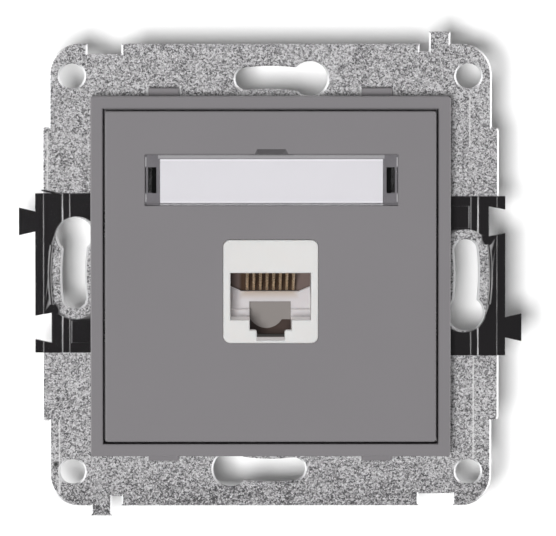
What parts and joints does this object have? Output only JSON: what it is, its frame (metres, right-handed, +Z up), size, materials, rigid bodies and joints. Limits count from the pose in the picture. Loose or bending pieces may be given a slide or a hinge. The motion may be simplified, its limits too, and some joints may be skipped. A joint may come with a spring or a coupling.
{
  "type": "ethernet socket insert",
  "caption": "Square grey flush-mounted network socket insert with a zinc-coated wall-box plate, side frame couplers, a clear label window and a white modular jack.",
  "frame": {"origin": "centre of the four fixing slots on the back face of the mounting plate, in the wall plane", "axes": "+X to the right and +Z up as seen from the room; the front faces -Y and +Y points into the wall box"},
  "size_m": [0.0772, 0.0265, 0.0746],
  "materials": {
    "zinc_steel": "spangled zinc coating",
    "black_plastic": "smooth moulded",
    "grey_plastic": "fine matt moulded",
    "card": "uncoated card",
    "clear_plastic": "clear moulded plastic",
    "white_plastic": "satin moulded",
    "dull_plastic": "plain moulded",
    "brown_plastic": "plain moulded",
    "cream_plastic": "plain moulded",
    "board_laminate": "lacquered laminate",
    "contact_bronze": "gold-flashed wire",
    "blade_bronze": "tinned blade"
  },
  "bodies": {
    "insert_body": {"mounting_plate": "zinc_steel", "left_coupler": "black_plastic", "right_coupler": "black_plastic", "cover_ring": "grey_plastic", "jack_housing": "white_plastic", "contact_carrier": "brown_plastic", "latch_guide": "dull_plastic", "jack_circuit_board": "board_laminate", "right_terminal_block": "cream_plastic", "left_terminal_block": "cream_plastic", "module_holder": "black_plastic", "terminal_blade_1": "blade_bronze", "terminal_blade_2": "blade_bronze", "terminal_blade_3": "blade_bronze", "terminal_blade_4": "blade_bronze", "terminal_blade_5": "blade_bronze", "terminal_blade_6": "blade_bronze", "terminal_blade_7": "blade_bronze", "terminal_blade_8": "blade_bronze"},
    "cover": {"cover_plate": "grey_plastic", "label_card": "card"},
    "window": {"label_window": "clear_plastic"},
    "contacts": {"contact_wire_1": "contact_bronze", "contact_wire_2": "contact_bronze", "contact_wire_3": "contact_bronze", "contact_wire_4": "contact_bronze", "contact_wire_5": "contact_bronze", "contact_wire_6": "contact_bronze", "contact_wire_7": "contact_bronze", "contact_wire_8": "contact_bronze"},
    "right_cap": {"right_terminal_cap": "white_plastic"},
    "left_cap": {"left_terminal_cap": "white_plastic"}
  },
  "joints": [
    {"name": "cover_pull", "type": "slide", "parent": "insert_body", "child": "cover", "axis": [0, -1, 0], "range_m": [0, 0.014]},
    {"name": "window_pull", "type": "slide", "parent": "cover", "child": "window", "axis": [0, -1, 0], "range_m": [0, 0.006]},
    {"name": "contact_spring", "type": "hinge", "parent": "insert_body", "child": "contacts", "pos_m": [0, -0.0066, 0.0024], "axis": [1, 0, 0], "range_deg": [0, 9], "stiffness_Nm_per_rad": 0.02},
    {"name": "right_cap_pull", "type": "slide", "parent": "insert_body", "child": "right_cap", "axis": [0, 1, 0], "range_m": [0, 0.005]},
    {"name": "left_cap_pull", "type": "slide", "parent": "insert_body", "child": "left_cap", "axis": [0, 1, 0], "range_m": [0, 0.005]}
  ]
}
